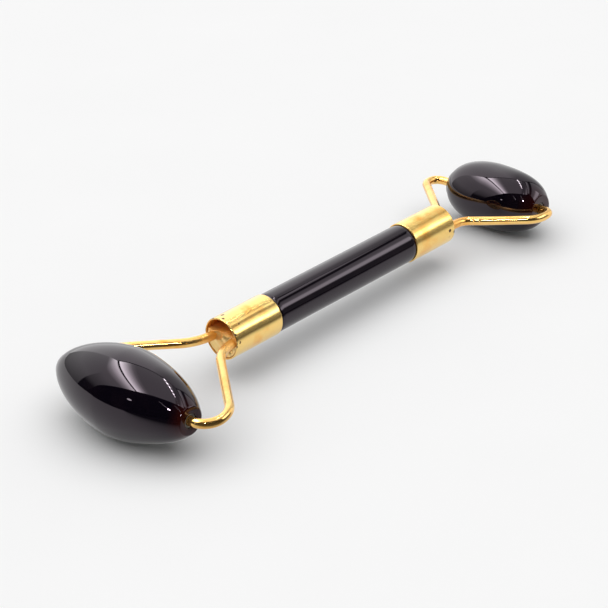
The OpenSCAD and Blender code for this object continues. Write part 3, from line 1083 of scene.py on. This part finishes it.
    def build_table(self) -> None:
        """Makes the pale, matt table top.

        Gloss sees it with its shadows half filled in, except close to where things touch it, and falling
        off into the dark before the light box. It gets no warm light off the metal.
        """
        material, tree = new_material("white_table")
        paint = ramp(tree, noise(tree, place_of(tree), 40), (0.3, "#f4f4f4"), (0.7, "#f5f5f5"))
        dark = spread(tree, self.measure(tree, self.floor_way), self.floor_near, self.floor_end, 0.0,
                      self.floor_dark, interpolation_type="SMOOTHSTEP")
        path = add_node(tree, "ShaderNodeLightPath")
        glossy = path.outputs["Is Glossy Ray"]
        hidden = calc(tree, "MAXIMUM", dark, path.outputs["Diffuse Depth"], clamp=True)
        dimmed = calc(tree, "MULTIPLY", spread(tree, hidden, 0.0, 1.0, self.filled, 1.0), glossy)
        apart = spread(tree, path.outputs["Ray Length"], *self.filled_from)
        light = spread(tree, hidden, 0.0, 1.0, self.filled * self.fill_strength, 0.0)
        light = calc(tree, "MULTIPLY", calc(tree, "MULTIPLY", light, apart), glossy)
        colour = blend(tree, dimmed, paint, "#000000")
        matt = add_node(tree, "ShaderNodeBsdfDiffuse", links={"Color": colour})
        fill = add_node(tree, "ShaderNodeEmission", links={"Strength": light})
        both = add_node(tree, "ShaderNodeAddShader", links={0: matt.outputs[0], 1: fill.outputs[0]})
        add_node(tree, "ShaderNodeOutputMaterial", links={"Surface": both.outputs[0]})
        p = np.linspace(0, 2 * np.pi, 96, endpoint=False)
        r = self.table_radius
        ring = np.stack([r * np.cos(p), r * np.sin(p), np.full(96, -0.00002)], 1)
        table = self.add_face("table", ring.tolist(), material)

    def build_daylight(self) -> None:
        """Sets the even daylight for the table and the wide lamp right over it."""
        world = bpy.data.worlds.new("daylight")
        bpy.context.scene.world = world
        world.use_nodes = True
        tree = world.node_tree
        tree.nodes.clear()
        camera_ray = add_node(tree, "ShaderNodeLightPath").outputs["Is Camera Ray"]
        power = spread(tree, camera_ray, 0.0, 1.0, self.day, self.sky)
        sky = add_node(tree, "ShaderNodeBackground", {"Color": "#ffffff"}, {"Strength": power})
        add_node(tree, "ShaderNodeOutputWorld", links={"Surface": sky.outputs[0]})
        world.cycles_visibility.glossy = False
        lamp = bpy.data.lights.new("overhead", "SUN")
        lamp.energy = self.lamp
        lamp.angle = math.radians(self.lamp_angle)
        holder = add_object("studio_overhead", lamp)
        holder.visible_glossy = False
        towards = Vector(self.turned(self.lamp_place))
        holder.rotation_mode = "QUATERNION"
        holder.rotation_quaternion = towards.to_track_quat("Z", "Y")

    def build(self) -> None:
        """Builds the whole studio."""
        self.build_panels()
        self.build_table()
        self.build_daylight()
        scene = bpy.context.scene
        scene.view_settings.view_transform = "Standard"
        scene.view_settings.look = "None"
        LOG.info("studio: %d lit panels", len(self.panels()))


@dataclass(frozen=True)
class Viewpoint:
    """Where the camera stands, as angles round a point between the rollers."""

    azimuth: float = 44.579
    elevation: float = 27.233
    roll: float = -3.967
    distance: float = 0.455643
    lens: float = 112.955
    target: tuple[float, float, float] = (-0.011851, 0.003233, 0.0)

    def build(self) -> None:
        """Makes the scene's camera.

        It stands at target + distance back, where back is (sin az cos el, -cos az cos el, sin el), and is
        turned by the roll round its own axis.
        """
        az, el, roll = (math.radians(a) for a in (self.azimuth, self.elevation, self.roll))
        back = Vector((math.sin(az) * math.cos(el), -math.cos(az) * math.cos(el), math.sin(el)))
        right = Vector((math.cos(az), math.sin(az), 0.0))
        up = back.cross(right)
        turned_right = right * math.cos(roll) + up * math.sin(roll)
        turned_up = up * math.cos(roll) - right * math.sin(roll)
        data = bpy.data.cameras.new("viewpoint")
        data.sensor_width, data.lens = 36.0, self.lens
        data.clip_start, data.clip_end = 0.01, 50.0
        camera = add_object("viewpoint", data)
        place = Matrix((turned_right, turned_up, back)).transposed().to_4x4()
        place.translation = Vector(self.target) + back * self.distance
        camera.matrix_world = place
        bpy.context.scene.camera = camera
        LOG.info("camera: %.0f mm lens, %.0f mm from the object", self.lens, self.distance / MM)


# ---------------------------------------------------------------- the whole

def build_rollers(finishes: Finishes) -> None:
    """Builds both rollers.

    Args:
        finishes: the materials.
    """
    large = Roller(End.LARGE, 20.0, 38.7, 1.7, 1.09, 5.5,
                   ((0.007, 5.0, 2, 0.3), (0.005, 3.1, 3, 1.2), (0.002, 2.2, 1, 2.0)))
    small = Roller(End.SMALL, 16.6, 27.3, 2.35, 1.053, 4.6,
                   ((0.007, 4.1, 2, 1.3), (0.005, 2.7, 3, 0.2), (0.002, 1.9, 1, 0.9)))
    for roller in (large, small):
        roller.build_stone(finishes.stone)
        for side in Side:
            roller.build_bush(side, finishes.nylon)


def build_handle(finishes: Finishes) -> None:
    """Builds the grip, the ferrules, the forks and the solder.

    Args:
        finishes: the materials.
    """
    line = GripLine()
    Grip(line).build(finishes.stone)
    Ferrule(line, End.LARGE, 14.6).build(finishes.large_ferrule)
    Ferrule(line, End.SMALL, 14.1).build(finishes.small_ferrule)
    Fork(line, End.LARGE, ((2.8, 3.5, 11.0), (22.2, 21.9, 2.5), (21.2, 28.2, 1.7)),
         ((3.35, 4.1, 11.0), (23.4, 20.7, 7.0), (24.7, 28.2, 4.0)), 13.85).build(finishes.wire)
    Fork(line, End.SMALL, ((3.4, 4.4, 8.0), (19.5, 18.6, 2.6), (20.3, 23.2, 2.4)),
         ((3.3, 5.2, 4.0), (17.4, 17.6, 6.0), (16.6, 23.2, 1.7)), 9.05).build(finishes.wire)
    for end in End:
        SolderPool(line, end).build(finishes.solder)


def main() -> None:
    """Builds everything in order."""
    logging.basicConfig(level=logging.INFO, format="%(name)s %(message)s")
    finishes = Finishes()
    build_handle(finishes)
    build_rollers(finishes)
    dress_nodes(finishes.plug, ["large_end_plug", "small_end_plug"])
    dress_nodes(finishes.epoxy, ["large_end_adhesive", "small_end_adhesive"]
                + [f"{e.word}_roller_{s.word}_adhesive" for e in End for s in Side])
    Studio().build()
    Viewpoint().build()


if __name__ == "__main__":
    main()
